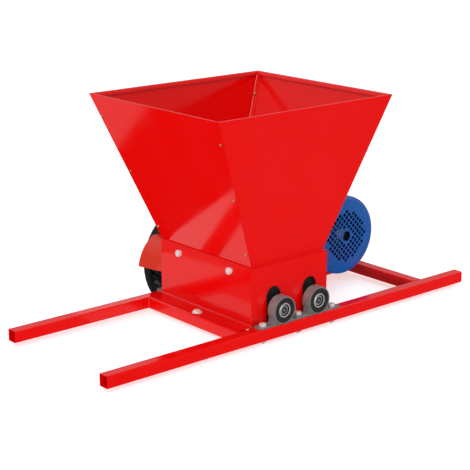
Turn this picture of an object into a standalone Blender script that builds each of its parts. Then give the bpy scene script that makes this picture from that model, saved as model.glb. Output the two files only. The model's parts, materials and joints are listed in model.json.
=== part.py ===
"""Motor-driven twin-roller grape crusher, modelled piece by piece.

Two long square-tube rails carry a folded sheet-metal crushing box with a tapered hopper on top.
Two fluted rollers turn against each other in the box. They are geared together behind the far
rail, and a V-belt drives the right-hand one from an electric motor beside the box.

Frame: metres, +Z up. X runs along the rails, Y from the near rail to the far rail. The origin is
on the centre line of the near rail's underside, straight below the driven roller's shaft.
"""

import math

import bmesh
import bpy

MM = 0.001
GAP = 0.3 * MM                      # clearance between pieces that touch

# Square-tube frame
TUBE = 25 * MM
TUBE_WALL = 1.8 * MM
TUBE_CORNER = 2.5 * MM
RAIL_LEFT = -527.5 * MM
RAIL_LENGTH = 970 * MM
RAIL_PITCH = 312 * MM               # near rail centre to far rail centre
LEFT_CROSS_X = -187 * MM
RIGHT_CROSS_X = 321 * MM

# Folded sheet of the box and the hopper
SHEET = 1.5 * MM
BEND = 4 * MM                       # centre-line radius of a bend
CORNER_FLANGE = 15 * MM             # hopper end panels fold this far along the side panels

# Crushing box, outside faces
BOX_LEFT = -160.5 * MM
BOX_RIGHT = 46 * MM
BOX_FRONT = 16 * MM
BOX_BACK = 305 * MM
BOX_TOP = 146.7 * MM
BOX_FOOT = 32 * MM                  # width of the flange that each side panel stands on
BOX_LEDGE = 12 * MM                 # inward flange on top of the right panel
FRONT_PANEL_BOTTOM = 3 * MM
SLOT_WIDTH = 38 * MM
SLOT_TOP = 99 * MM
SLOT_X = (-101 * MM, -3 * MM)

# Hopper, outside faces
HOPPER_BOTTOM = 147 * MM
HOPPER_SKIRT = 35 * MM              # vertical skirt that hangs inside the box
HOPPER_TOP = 461 * MM
HOPPER_MOUTH = (-288.5 * MM, 167.5 * MM, -39.5 * MM, 369.5 * MM)

# Rollers, shafts and bearings
SHAFT_X = (-95 * MM, 0)
SHAFT_Z = 53.4 * MM
SHAFT_RADIUS = 10 * MM
SHAFT_FRONT_Y = -9.5 * MM
SHAFT_BACK_Y = (364 * MM, 417 * MM)
ROLLER_RADIUS = 43 * MM
FLUTE_DEPTH = 9 * MM
FLUTES = 8
ROLLER_Y = (22 * MM, 299 * MM)
HOUSING_Y = (1.5 * MM, 316.5 * MM)  # middle of the foot on the near and the far rail
HOUSING_RADIUS = 28.8 * MM
HOUSING_BORE = 26 * MM
FOOT_SHEET = 3 * MM
FOOT_WIDTH = 22 * MM
FOOT_REACH = 62 * MM                # shaft axis to the outer end of a foot
BOLT_REACH = 47.5 * MM              # shaft axis to each foot bolt

# Gears
GEAR_TEETH = 19
GEAR_MODULE = 5 * MM
GEAR_Y = (336 * MM, 358 * MM)
GEAR_BACKLASH = 0.5 * MM

# Belt drive
BELT_Y = 404 * MM
DRIVEN_RADIUS = 126 * MM
DRIVER_RADIUS = 34 * MM
RIM_HALF_WIDTH = 11 * MM
BELT_PROUD = 0.5 * MM               # belt back above the pulley rim
BELT_DEPTH = 8 * MM

# Motor
MOTOR_X = 226.5 * MM
MOTOR_Z = 115 * MM
MOTOR_SHAFT_RADIUS = 12 * MM
COVER_FACE_Y = 139 * MM
FRAME_Y = (200.3 * MM, 345 * MM)
FRAME_RADIUS = 76 * MM
FIN_RADIUS = 82 * MM
FRAME_BORE = 72 * MM
FINS = 28
DRIVE_END_Y = 379 * MM
FOOT_HOLE_X = 70 * MM
FOOT_HOLE_Y = (212 * MM, 312 * MM)
MOTOR_FOOT_TOP = 37 * MM
PLATE = (47.5 * MM, 180 * MM, 19 * MM)  # lowest corner of the motor plate
CORE_Y = (225 * MM, 325 * MM)       # stacked steel of the rotor and the stator
CORE_SPLIT = 40 * MM                # radius of the gap between rotor and stator
CORE_AIR_GAP = 0.6 * MM
FAN_Y = (160 * MM, 182 * MM)
FAN_TIP = 72 * MM
TERMINAL_BOX_Y = (246 * MM, 330 * MM)
TERMINAL_BOX_Z = (200.3 * MM, 232 * MM)
TERMINAL_BOX_WIDTH = 90 * MM
TERMINAL_WALL = 3 * MM

# Fasteners: hexagon half-width, head height, shank radius
M8 = (6.5 * MM, 5.5 * MM, 4 * MM)
M10 = (8 * MM, 6.5 * MM, 5 * MM)
HOLE_CLEARANCE = 0.5 * MM
BOLT_END = 3 * MM                   # thread that stands out of the nut
BEARING_BOLT_X = (-142.5 * MM, -47.5 * MM, 47.5 * MM)
HOPPER_BOLT_Y = (82 * MM, 244 * MM)
HOPPER_BOLT_Z = 127 * MM
FLANGE_BOLT_Y = 153 * MM

# Gear guard
GUARD_Y = (305.5 * MM, 386.5 * MM)
GUARD_RADIUS = 79 * MM              # shaft axis to the guard, measured upwards
GUARD_REACH = 66 * MM               # shaft axis to the guard, measured sideways
GUARD_SHOULDER = 28 * MM            # shaft axis to the end of the flat top
GUARD_TOP = 127.5 * MM

RED = ("red_powder_coat", (0.70, 0.012, 0.008), 0.28, 0.0)
BLUE = ("blue_enamel", (0.03, 0.105, 0.35), 0.4, 0.0)
BLACK_IRON = ("black_cast_iron", (0.02, 0.02, 0.022), 0.45, 0.3)
PRESSED_STEEL = ("pressed_steel", (0.33, 0.33, 0.34), 0.4, 0.9)
BRIGHT_STEEL = ("bright_steel", (0.62, 0.62, 0.62), 0.25, 1.0)
SEAL_RUBBER = ("bearing_seal", (0.03, 0.03, 0.03), 0.6, 0.0)
BELT_RUBBER = ("belt_rubber", (0.015, 0.015, 0.015), 0.8, 0.0)
ZINC = ("zinc_plate", (0.75, 0.74, 0.72), 0.3, 1.0)
ROLLER_NYLON = ("black_nylon", (0.015, 0.015, 0.016), 0.5, 0.0)
LAMINATIONS = ("lamination_steel", (0.25, 0.25, 0.27), 0.5, 0.8)
BLACK_PLASTIC = ("black_plastic", (0.02, 0.02, 0.02), 0.5, 0.0)


# ---------------------------------------------------------------- shape tools

def material(finish):
    """Return the finish's Principled material, made once."""
    name, colour, roughness, metallic = finish
    found = bpy.data.materials.get(name)
    if found:
        return found
    made = bpy.data.materials.new(name)
    made.use_nodes = True
    shader = made.node_tree.nodes["Principled BSDF"]
    shader.inputs["Base Color"].default_value = (*colour, 1)
    shader.inputs["Roughness"].default_value = roughness
    shader.inputs["Metallic"].default_value = metallic
    return made


def add_object(name, bm, finish, place=(0, 0, 0), smooth=False):
    """Turn a closed bmesh into a named object at its place."""
    bmesh.ops.recalc_face_normals(bm, faces=bm.faces[:])
    mesh = bpy.data.meshes.new(name)
    bm.to_mesh(mesh)
    bm.free()
    if smooth:
        mesh.shade_smooth()
        mesh.set_sharp_from_angle(angle=math.radians(35))
    part = bpy.data.objects.new(name, mesh)
    part.location = place
    part.data.materials.append(material(finish))
    bpy.context.scene.collection.objects.link(part)
    return part


def loft(name, rings, finish, place=(0, 0, 0), smooth=False, closed=False):
    """Skin a list of equal point rings; cap both ends, or close the last ring onto the first."""
    bm = bmesh.new()
    loops = [[bm.verts.new(point) for point in ring] for ring in rings]
    pairs = list(zip(loops, loops[1:]))
    if closed:
        pairs.append((loops[-1], loops[0]))
    for low, high in pairs:
        for i, corner in enumerate(low):
            j = (i + 1) % len(low)
            bm.faces.new((corner, low[j], high[j], high[i]))
    if not closed:
        bm.faces.new(loops[0][::-1])
        bm.faces.new(loops[-1])
    return add_object(name, bm, finish, place, smooth)


def prism(name, outline, y_low, y_high, finish, place=(0, 0, 0), smooth=False):
    """Extrude an (x, z) outline along Y."""
    rings = [[(x, y, z) for x, z in outline] for y in (y_low, y_high)]
    return loft(name, rings, finish, place, smooth)


def box(name, low, high, finish):
    """Make a rectangular block between two corners."""
    outline = [(low[0], low[2]), (high[0], low[2]), (high[0], high[2]), (low[0], high[2])]
    return prism(name, outline, low[1], high[1], finish)


def arc(centre, radius, start, end, steps):
    """Return points along a circular arc, angles in degrees."""
    angles = [math.radians(start + (end - start) * i / steps) for i in range(steps + 1)]
    return [(centre[0] + radius * math.cos(a), centre[1] + radius * math.sin(a)) for a in angles]


def turned(name, profile, finish, place=(0, 0, 0), sides=32, bored=True):
    """Revolve a (radius, y) profile about Y. A bored profile is a closed loop round its wall."""
    rings = []
    for radius, y in profile:
        turns = [2 * math.pi * i / sides for i in range(sides)]
        rings.append([(radius * math.cos(a), y, radius * math.sin(a)) for a in turns])
    return loft(name, rings, finish, place, smooth=True, closed=bored)


def strip(path, thickness):
    """Return the outline of a bent sheet whose middle follows an open path of (x, z) points."""
    left, right = [], []
    for i, (x, z) in enumerate(path):
        x0, z0 = path[max(i - 1, 0)]
        x1, z1 = path[min(i + 1, len(path) - 1)]
        length = math.hypot(x1 - x0, z1 - z0)
        nx, nz = -(z1 - z0) / length, (x1 - x0) / length
        left.append((x + nx * thickness / 2, z + nz * thickness / 2))
        right.append((x - nx * thickness / 2, z - nz * thickness / 2))
    return left + right[::-1]


def combine(target, tool, operation):
    """Add an exact Boolean and hide its tool."""
    modifier = target.modifiers.new(operation.lower(), "BOOLEAN")
    modifier.operation = operation
    modifier.object = tool
    tool.hide_render = True
    tool.display_type = "WIRE"


def cut(target, tool):
    """Cut the tool's shape out of the target."""
    combine(target, tool, "DIFFERENCE")


def join(target, tool):
    """Weld the tool's shape onto the target."""
    combine(target, tool, "UNION")


def drill(target, centre, radius, axis="Z", depth=120 * MM, sides=16):
    """Drill a round hole through the target, centred on a point."""
    hole = turned(f"{target.name}_hole", [(radius, -depth / 2), (radius, depth / 2)], ZINC,
                  centre, sides, bored=False)
    if axis == "Z":
        hole.rotation_euler = (math.pi / 2, 0, 0)
    elif axis == "X":
        hole.rotation_euler = (0, 0, math.pi / 2)
    cut(target, hole)


# ---------------------------------------------------------------- frame

def rounded_square(size, radius):
    """Return a square outline with rounded corners, twelve points."""
    inner = size / 2 - radius
    outline = []
    for quarter, (sx, sy) in enumerate(((1, 1), (-1, 1), (-1, -1), (1, -1))):
        outline += arc((sx * inner, sy * inner), radius, 90 * quarter, 90 * quarter + 90, 2)
    return outline


def square_tube(name, start, length, along_y=False):
    """Make an open-ended square tube that runs along X, or along Y."""
    outer = rounded_square(TUBE, TUBE_CORNER)
    inner = rounded_square(TUBE - 2 * TUBE_WALL, TUBE_CORNER - TUBE_WALL)
    rings = [[(x, y, z) for y, z in loop]
             for x, loop in ((0, outer), (length, outer), (length, inner), (0, inner))]
    tube = loft(name, rings, RED, start, closed=True)
    if along_y:
        tube.rotation_euler = (0, 0, math.pi / 2)
    return tube


def build_frame():
    """Make the two rails, the two cross tubes and the motor plate."""
    middle = TUBE / 2
    near = square_tube("near_rail", (RAIL_LEFT, 0, middle), RAIL_LENGTH)
    far = square_tube("far_rail", (RAIL_LEFT, RAIL_PITCH, middle), RAIL_LENGTH)
    span = RAIL_PITCH - TUBE - 2 * GAP
    start = middle + GAP
    left = square_tube("left_cross_tube", (LEFT_CROSS_X, start, middle), span, along_y=True)
    square_tube("right_cross_tube", (RIGHT_CROSS_X, start, middle), span, along_y=True)
    plate_end = (RIGHT_CROSS_X - middle - GAP, RAIL_PITCH - middle - GAP, TUBE)
    plate = box("motor_plate", PLATE, plate_end, RED)

    shank = M8[2] + HOLE_CLEARANCE
    for x in BEARING_BOLT_X:
        drill(near, (x, HOUSING_Y[0], middle), shank)
        drill(far, (x, HOUSING_Y[1], middle), shank)
    drill(left, (LEFT_CROSS_X, FLANGE_BOLT_Y, TUBE), shank, depth=TUBE)
    for side in (-1, 1):
        x = MOTOR_X + side * FOOT_HOLE_X
        drill(plate, (x, FOOT_HOLE_Y[0], TUBE), M10[2] + HOLE_CLEARANCE)
        drill(far, (x, FOOT_HOLE_Y[1], middle), M10[2] + HOLE_CLEARANCE)


# ---------------------------------------------------------------- crushing box

def side_path(face, outward, ledge):
    """Return the middle line of a side panel: ledge, web, bend and foot flange."""
    x = face - outward * SHEET / 2
    foot = TUBE + GAP + SHEET / 2
    path = []
    if ledge:
        top = BOX_TOP - SHEET / 2
        path.append((face - outward * (ledge - GAP), top))
        path += arc((x - outward * BEND, top - BEND), BEND, 90, 90 - 90 * outward, 4)
    else:
        path.append((x, BOX_TOP))
    start = 180 if outward > 0 else 0
    path += arc((x + outward * BEND, foot + BEND), BEND, start, start + 90 * outward, 4)
    path.append((face + outward * BOX_FOOT, foot))
    return path


def build_box_sides():
    """Make the left and right panels, which stand on their foot flanges."""
    bolt_hole = M8[2] + HOLE_CLEARANCE
    left = prism("box_left_panel", strip(side_path(BOX_LEFT, -1, 0), SHEET),
                 BOX_FRONT, BOX_BACK, RED)
    inset = GAP / 3
    join(left, box("left_foot_tab", (BOX_LEFT - BOX_FOOT, TUBE / 2 + GAP, TUBE + GAP + inset),
                   (BOX_LEFT - BEND, BOX_FRONT + BEND, TUBE + GAP + SHEET - inset), RED))
    for y in HOPPER_BOLT_Y:
        drill(left, (BOX_LEFT, y, HOPPER_BOLT_Z), bolt_hole, "X", 20 * MM)
    drill(left, (LEFT_CROSS_X, FLANGE_BOLT_Y, TUBE), bolt_hole, depth=TUBE)
    right = prism("box_right_panel", strip(side_path(BOX_RIGHT, 1, BOX_LEDGE), SHEET),
                  BOX_FRONT, BOX_BACK, RED)
    notch = BOX_RIGHT + BOX_FOOT + BEND
    cut(right, box("right_foot_notch", (BOX_RIGHT + GAP, 0, 0), (notch, PLATE[1], BOX_TOP / 2), RED))


def slotted_outline(bottom, top):
    """Return an end panel's outline, with a round-topped shaft slot below each shaft."""
    side = SHEET + GAP
    radius = SLOT_WIDTH / 2
    outline = [(BOX_LEFT + side, bottom)]
    for x in SLOT_X:
        outline.append((x - radius, bottom))
        outline += arc((x, SLOT_TOP - radius), radius, 180, 0, 12)
        outline.append((x + radius, bottom))
    right = BOX_RIGHT - side
    return outline + [(right, bottom), (right, top - BEND), (right - BEND, top), (BOX_LEFT + side, top)]


def build_box_ends():
    """Make the front and back panels, which stand flush between the side panels."""
    top = BOX_TOP - SHEET - GAP
    prism("box_front_panel", slotted_outline(FRONT_PANEL_BOTTOM, top),
          BOX_FRONT, BOX_FRONT + SHEET, RED)
    prism("box_back_panel", slotted_outline(TUBE + GAP, top), BOX_BACK - SHEET, BOX_BACK, RED)


# ---------------------------------------------------------------- hopper

def hopper_section(level):
    """Return the hopper's outside faces (left, right, front, back) at a named level."""
    inset = SHEET + GAP
    bottom = (BOX_LEFT + SHEET + GAP, BOX_RIGHT - BOX_LEDGE, BOX_FRONT + inset, BOX_BACK - inset)
    return HOPPER_MOUTH if level == "mouth" else bottom


def wall_stretch(level, walls):
    """Return how much wider a sloping wall's sheet is when it is cut level."""
    if level == "skirt":
        return 1
    bottom, mouth = hopper_section("neck"), hopper_section("mouth")
    run = abs(mouth[walls] - bottom[walls])
    return math.hypot(1, run / (HOPPER_TOP - HOPPER_BOTTOM))


def hopper_ring(level, points):
    """Place (x offset, y offset) points, measured inwards from two walls, at one level.

    Each point is (x wall, x offset, y wall, y offset) with walls 0 left, 1 right, 2 front, 3 back.
    """
    heights = {"skirt": HOPPER_BOTTOM - HOPPER_SKIRT, "neck": HOPPER_BOTTOM, "mouth": HOPPER_TOP}
    section = hopper_section(level)
    ring = []
    for x_wall, x_in, y_wall, y_in in points:
        x_sign = 1 if x_wall == 0 else -1
        y_sign = 1 if y_wall == 2 else -1
        x = section[x_wall] + x_sign * x_in * wall_stretch(level, x_wall)
        y = section[y_wall] + y_sign * y_in * wall_stretch(level, y_wall)
        ring.append((x, y, heights[level]))
    return ring


def build_hopper():
    """Make four hopper panels; the end panels fold back along the inside of the side panels."""
    levels = ("skirt", "neck", "mouth")
    for name, wall in (("hopper_left_panel", 0), ("hopper_right_panel", 1)):
        points = [(wall, 0, 2, 0), (wall, SHEET, 2, 0), (wall, SHEET, 3, 0), (wall, 0, 3, 0)]
        panel = loft(name, [hopper_ring(level, points) for level in levels], RED)
        if wall == 0:
            for y in HOPPER_BOLT_Y:
                hole = (BOX_LEFT, y, HOPPER_BOLT_Z)
                drill(panel, hole, M8[2] + HOLE_CLEARANCE, "X", 20 * MM)
    side, fold = SHEET + GAP, 2 * SHEET + GAP
    for name, wall in (("hopper_front_panel", 2), ("hopper_back_panel", 3)):
        left = [(0, fold, wall, CORNER_FLANGE), (0, side, wall, CORNER_FLANGE), (0, side, wall, 0)]
        right = [(1, side, wall, 0), (1, side, wall, CORNER_FLANGE), (1, fold, wall, CORNER_FLANGE)]
        inside = [(1, fold, wall, SHEET), (0, fold, wall, SHEET)]
        points = left + right + inside
        loft(name, [hopper_ring(level, points) for level in levels], RED)


# ---------------------------------------------------------------- bearings, shafts and rollers

def foot_outline(lapped):
    """Return a bearing foot's side view; a lapped foot's inner ear climbs over its neighbour."""
    low, high = TUBE + GAP, TUBE + GAP + FOOT_SHEET
    if not lapped:
        return [(-FOOT_REACH, low), (FOOT_REACH, low), (FOOT_REACH, high), (-FOOT_REACH, high)]
    lift = FOOT_SHEET + GAP
    step_in, step_out = 29 * MM, 32.5 * MM
    return [(-FOOT_REACH, low + lift), (-step_out, low + lift), (-step_in, low),
            (FOOT_REACH, low), (FOOT_REACH, high), (-step_in, high),
            (-step_out - 1 * MM, high + lift), (-FOOT_REACH, high + lift)]


def shell_outline():
    """Return the housing's front view: a round crown that flares out into the foot."""
    base, waist, flare = TUBE + GAP, -28, 7 * MM
    crown = arc((0, SHAFT_Z), HOUSING_RADIUS, waist, 180 - waist, 20)
    foot_top = base + FOOT_SHEET / 2
    reach = crown[0][0] + flare
    left = [(-x, z) for x, z in ((crown[0][0] + 0.2 * flare, foot_top + 0.45 * flare),
                                 (reach, foot_top), (reach, base))]
    right = [(-x, z) for x, z in left[::-1]]
    return right + crown + left


def bearing_housing(name, x, y, facing, lapped):
    """Make one pressed-steel housing: round cup, flared shell, foot, bore and bolt holes."""
    def span(near, far):
        """Return the low and high end along Y of a stretch measured towards the shaft's end."""
        return sorted((facing * near, facing * far))

    body = prism(name, shell_outline(), *span(9 * MM, -7 * MM), PRESSED_STEEL, (x, y, 0), True)
    cup = arc((0, SHAFT_Z), HOUSING_RADIUS - 0.7 * MM, 0, 345, 23)
    join(body, prism(f"{name}_cup", cup, *span(13.5 * MM, -6 * MM), PRESSED_STEEL, (x, y, 0), True))
    join(body, prism(f"{name}_foot", foot_outline(lapped), -FOOT_WIDTH / 2, FOOT_WIDTH / 2,
                     PRESSED_STEEL, (x, y, 0)))
    drill(body, (x, y, SHAFT_Z), HOUSING_BORE, "Y", 4 * FOOT_WIDTH, sides=32)
    for side in (-1, 1):
        drill(body, (x + side * BOLT_REACH, y, TUBE), M8[2] + HOLE_CLEARANCE, depth=30 * MM)


def bearing_rings(side, x, y, facing):
    """Make the fixed outer ring with its seal, and the inner ring that grips the shaft."""
    outer = [(14.9 * MM, 10.5 * MM), (21.5 * MM, 10.5 * MM), (22 * MM, 12.5 * MM),
             (HOUSING_BORE - GAP, 12.5 * MM), (HOUSING_BORE - GAP, -5 * MM), (14.9 * MM, -5 * MM)]
    inner = [(10.3 * MM, 8.5 * MM), (12.8 * MM, 8.5 * MM), (12.8 * MM, 12.5 * MM),
             (14.5 * MM, 12.5 * MM), (14.5 * MM, -8 * MM), (10.3 * MM, -8 * MM)]
    for kind, profile, finish in (("outer", outer, SEAL_RUBBER), ("inner", inner, BRIGHT_STEEL)):
        placed = [(radius, facing * height) for radius, height in profile]
        turned(f"{side}_bearing_{kind}_ring", placed, finish, (x, y, SHAFT_Z), 28)


def build_bearings():
    """Make the four pillow blocks, two on each rail, whose feet share the middle bolt."""
    for rail, y, facing in (("front", HOUSING_Y[0], -1), ("rear", HOUSING_Y[1], 1)):
        for hand, x in zip(("left", "right"), SHAFT_X):
            bearing_housing(f"{rail}_{hand}_bearing_housing", x, y, facing, hand == "right")
            bearing_rings(f"{rail}_{hand}", x, y, facing)


def build_rollers():
    """Make the two shafts and the fluted rollers on them."""
    count = FLUTES * 8
    middle = ROLLER_RADIUS - FLUTE_DEPTH / 2
    for hand, x, back in zip(("left", "right"), SHAFT_X, SHAFT_BACK_Y):
        chamfer = 1 * MM
        shaft = [(SHAFT_RADIUS - chamfer, SHAFT_FRONT_Y), (SHAFT_RADIUS, SHAFT_FRONT_Y + chamfer),
                 (SHAFT_RADIUS, back - chamfer), (SHAFT_RADIUS - chamfer, back)]
        turned(f"{hand}_roller_shaft", shaft, BRIGHT_STEEL, (x, 0, SHAFT_Z), 24, bored=False)
        outer, bore = [], []
        for i in range(count):
            angle = 2 * math.pi * i / count
            radius = middle + FLUTE_DEPTH / 2 * math.cos(FLUTES * angle)
            outer.append((radius * math.cos(angle), radius * math.sin(angle)))
            inside = SHAFT_RADIUS + GAP
            bore.append((inside * math.cos(angle), inside * math.sin(angle)))
        low, high = ROLLER_Y
        rings = [[(px, y, pz) for px, pz in loop]
                 for y, loop in ((low, outer), (high, outer), (high, bore), (low, bore))]
        loft(f"{hand}_roller", rings, ROLLER_NYLON, (x, 0, SHAFT_Z), smooth=True, closed=True)


# ---------------------------------------------------------------- gears and guard

def gear_outline():
    """Return a spur gear outline with involute flanks; one tooth points along +X."""
    pitch = GEAR_MODULE * GEAR_TEETH / 2
    base = pitch * math.cos(math.radians(20))
    tip = pitch + 0.9 * GEAR_MODULE
    root = pitch - 1.2 * GEAR_MODULE

    def involute(radius):
        """Return the involute function at a radius."""
        pressure = math.acos(min(1.0, base / radius))
        return math.tan(pressure) - pressure

    half = math.pi / (2 * GEAR_TEETH) - GEAR_BACKLASH / (2 * pitch) + involute(pitch)
    flank = [base + (tip - base) * step for step in (0.02, 0.35, 0.7, 1.0)]
    tooth = [(root, half)] + [(radius, half - involute(radius)) for radius in flank]
    outline = []
    for i in range(GEAR_TEETH):
        centre = 2 * math.pi * i / GEAR_TEETH
        sweep = [(r, centre - a) for r, a in tooth] + [(r, centre + a) for r, a in tooth[::-1]]
        outline += [(r * math.cos(a), r * math.sin(a)) for r, a in sweep]
    return outline


def build_gears():
    """Make the pair of equal gears that turn the rollers against each other."""
    for hand, x in zip(("left", "right"), SHAFT_X):
        gear = prism(f"{hand}_gear", gear_outline(), *GEAR_Y, BLACK_IRON, (x, 0, SHAFT_Z))
        drill(gear, (x, sum(GEAR_Y) / 2, SHAFT_Z), SHAFT_RADIUS + GAP, "Y", sides=24)


def guard_path(edge):
    """Return the guard's middle line: an oval round each shaft, cut off by a flat top."""
    start = math.degrees(math.asin((edge - SHAFT_Z) / GUARD_RADIUS))
    end = math.degrees(math.asin((GUARD_TOP - SHAFT_Z) / GUARD_RADIUS)) - 8
    squeeze = GUARD_REACH / GUARD_RADIUS
    flank = [(x * squeeze, SHAFT_Z + z) for x, z in arc((0, 0), GUARD_RADIUS, start, end, 8)]
    flank.append((GUARD_SHOULDER, GUARD_TOP))
    left, right = SHAFT_X
    return [(left - x, z) for x, z in flank] + [(right + x, z) for x, z in flank[::-1]]


def build_guard():
    """Make the sheet hood over the gears, with a back plate and a fixing flange."""
    near, far = GUARD_Y
    edge_near, edge_far = 72 * MM, 65 * MM
    rings = [[(x, y, z) for x, z in strip(guard_path(edge), SHEET)]
             for y, edge in ((near, edge_near), (far, edge_far))]
    guard = loft("gear_guard", rings, RED)
    inset = GAP / 2
    join(guard, prism("gear_guard_back", guard_path(edge_far + inset), far - SHEET, far - inset, RED))
    join(guard, box("gear_guard_flange", (-102 * MM, near + inset, GUARD_TOP - inset),
                    (8 * MM, near + inset + SHEET, GUARD_TOP + 15 * MM), RED))
    drill(guard, (SHAFT_X[1], far, SHAFT_Z), 24 * MM, "Y", 10 * MM, sides=24)


# ---------------------------------------------------------------- belt drive

def rim_profile(radius, depth):
    """Return the outside of a one-groove V rim, front edge to back edge."""
    top, bottom = 6.6 * MM, 3.2 * MM
    return [(radius, -RIM_HALF_WIDTH), (radius, -top), (radius - depth, -bottom),
            (radius - depth, bottom), (radius, top), (radius, RIM_HALF_WIDTH)]


def build_belt_drive():
    """Make the large driven pulley, the motor pulley and the V-belt round them."""
    bore, hub, rim, web = SHAFT_RADIUS + GAP, 22 * MM, 108 * MM, 3 * MM
    front, back = -15 * MM, RIM_HALF_WIDTH
    profile = [(bore, front), (hub, front), (hub, -web), (rim, -web), (rim, -RIM_HALF_WIDTH)]
    profile += rim_profile(DRIVEN_RADIUS, 11 * MM)
    profile += [(rim, RIM_HALF_WIDTH), (rim, web), (hub, web), (hub, back), (bore, back)]
    turned("driven_pulley", profile, BLACK_IRON, (SHAFT_X[1], BELT_Y, SHAFT_Z), 48)
    bore = MOTOR_SHAFT_RADIUS + GAP
    profile = [(bore, -RIM_HALF_WIDTH)] + rim_profile(DRIVER_RADIUS, 10.5 * MM)
    profile += [(bore, RIM_HALF_WIDTH)]
    turned("motor_pulley", profile, BLACK_IRON, (MOTOR_X, BELT_Y, MOTOR_Z), 32)
    build_belt()


def build_belt():
    """Make the V-belt: round both pulleys, with straight runs between the tangent points."""
    across, up = MOTOR_X - SHAFT_X[1], MOTOR_Z - SHAFT_Z
    heading = math.degrees(math.atan2(up, across))
    swing = math.degrees(math.acos((DRIVEN_RADIUS - DRIVER_RADIUS) / math.hypot(across, up)))
    wide, narrow = 6.2 * MM, 3.9 * MM
    outer_loop, inner_loop = [], []
    for loop, inset in ((outer_loop, -BELT_PROUD), (inner_loop, BELT_DEPTH - BELT_PROUD)):
        loop += arc((0, 0), DRIVEN_RADIUS - inset, heading + swing, heading + 360 - swing, 30)
        loop += arc((across, up), DRIVER_RADIUS - inset, heading - swing, heading + swing, 12)
    rings = [[(ox, -wide, oz), (ox, wide, oz), (ix, narrow, iz), (ix, -narrow, iz)]
             for (ox, oz), (ix, iz) in zip(outer_loop, inner_loop)]
    loft("v_belt", rings, BELT_RUBBER, (SHAFT_X[1], BELT_Y, SHAFT_Z), smooth=True, closed=True)


# ---------------------------------------------------------------- motor

def motor_foot(side, y):
    """Make one of the motor's cast feet as a welding tool for the frame."""
    outline = [(side * 86 * MM, -MOTOR_Z + TUBE + GAP), (side * 48 * MM, -MOTOR_Z + TUBE + GAP),
               (side * 26 * MM, -70 * MM), (side * 54 * MM, -45 * MM),
               (side * 59 * MM, MOTOR_FOOT_TOP - MOTOR_Z), (side * 86 * MM, MOTOR_FOOT_TOP - MOTOR_Z)]
    return prism("motor_foot", outline, max(y - 17 * MM, FRAME_Y[0]), y + 17 * MM, BLUE,
                 (MOTOR_X, 0, MOTOR_Z))


def build_motor_frame():
    """Make the finned stator frame with its four feet and the terminal box pad."""
    outline = []
    for i in range(FINS):
        start, share = 360 * i / FINS, 360 / FINS
        outline += arc((0, 0), FRAME_RADIUS, start, start + 0.55 * share, 1)
        outline += arc((0, 0), FIN_RADIUS, start + 0.65 * share, start + 0.9 * share, 1)
    frame = prism("motor_frame", outline, *FRAME_Y, BLUE, (MOTOR_X, 0, MOTOR_Z))
    for side in (-1, 1):
        for y in FOOT_HOLE_Y:
            join(frame, motor_foot(side, y))
    inset, pad_top = 2 * TERMINAL_WALL, TERMINAL_BOX_Z[0] - GAP
    reach = TERMINAL_BOX_WIDTH / 2 - inset
    join(frame, box("terminal_pad",
                    (MOTOR_X - reach, TERMINAL_BOX_Y[0] + inset, MOTOR_Z + FRAME_RADIUS / 2),
                    (MOTOR_X + reach, TERMINAL_BOX_Y[1] - inset, pad_top), BLUE))
    drill(frame, (MOTOR_X, sum(FRAME_Y) / 2, MOTOR_Z), FRAME_BORE, "Y", 2 * FRAME_Y[1], sides=40)
    for side in (-1, 1):
        for y in FOOT_HOLE_Y:
            hole = (MOTOR_X + side * FOOT_HOLE_X, y, MOTOR_FOOT_TOP)
            drill(frame, hole, M10[2] + HOLE_CLEARANCE, depth=40 * MM)


def build_motor():
    """Make the motor's shields, cover, shaft, cores, fan and terminal box."""
    axis = (MOTOR_X, 0, MOTOR_Z)
    shaft, grip, free = MOTOR_SHAFT_RADIUS, MOTOR_SHAFT_RADIUS + GAP, MOTOR_SHAFT_RADIUS + 2 * GAP
    build_motor_frame()
    drive_end = [(free, 345.3 * MM), (81 * MM, 345.3 * MM), (81 * MM, 352 * MM),
                 (50 * MM, 362 * MM), (44 * MM, DRIVE_END_Y), (free, DRIVE_END_Y)]
    turned("drive_end_shield", drive_end, BLUE, axis, 36)
    fan_end = [(free, 188 * MM), (24 * MM, 188 * MM), (30 * MM, 192 * MM), (85 * MM, 192 * MM),
               (85 * MM, 200 * MM), (free, 200 * MM)]
    turned("fan_end_shield", fan_end, BLUE, axis, 36)
    outside = [(10, 0), (45, 0.8), (66, 3.5), (78, 7), (85, 11.5), (88, 18), (88, 55)]
    inside = [(86.5, 55), (86.5, 18.5), (83.8, 12.8), (77.3, 8.6), (65.6, 5.2), (45, 2.4),
              (10, 1.6)]
    cover = [(radius * MM, COVER_FACE_Y + depth * MM) for radius, depth in outside + inside]
    turned("fan_cover", cover, BLUE, axis, 40)
    turned("motor_shaft", [(shaft - MM, 158 * MM), (shaft, 159 * MM), (shaft, 416 * MM),
                           (shaft - MM, 417 * MM)], BRIGHT_STEEL, axis, 24, bored=False)
    cores = (("motor_rotor", grip, CORE_SPLIT - CORE_AIR_GAP),
             ("motor_stator", CORE_SPLIT, FRAME_BORE - 2 * GAP))
    for name, inner, outer in cores:
        turned(name, [(inner, CORE_Y[0]), (outer, CORE_Y[0]), (outer, CORE_Y[1]),
                      (inner, CORE_Y[1])], LAMINATIONS, axis, 32)
    build_fan(axis, grip)
    build_terminal_box()


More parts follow.
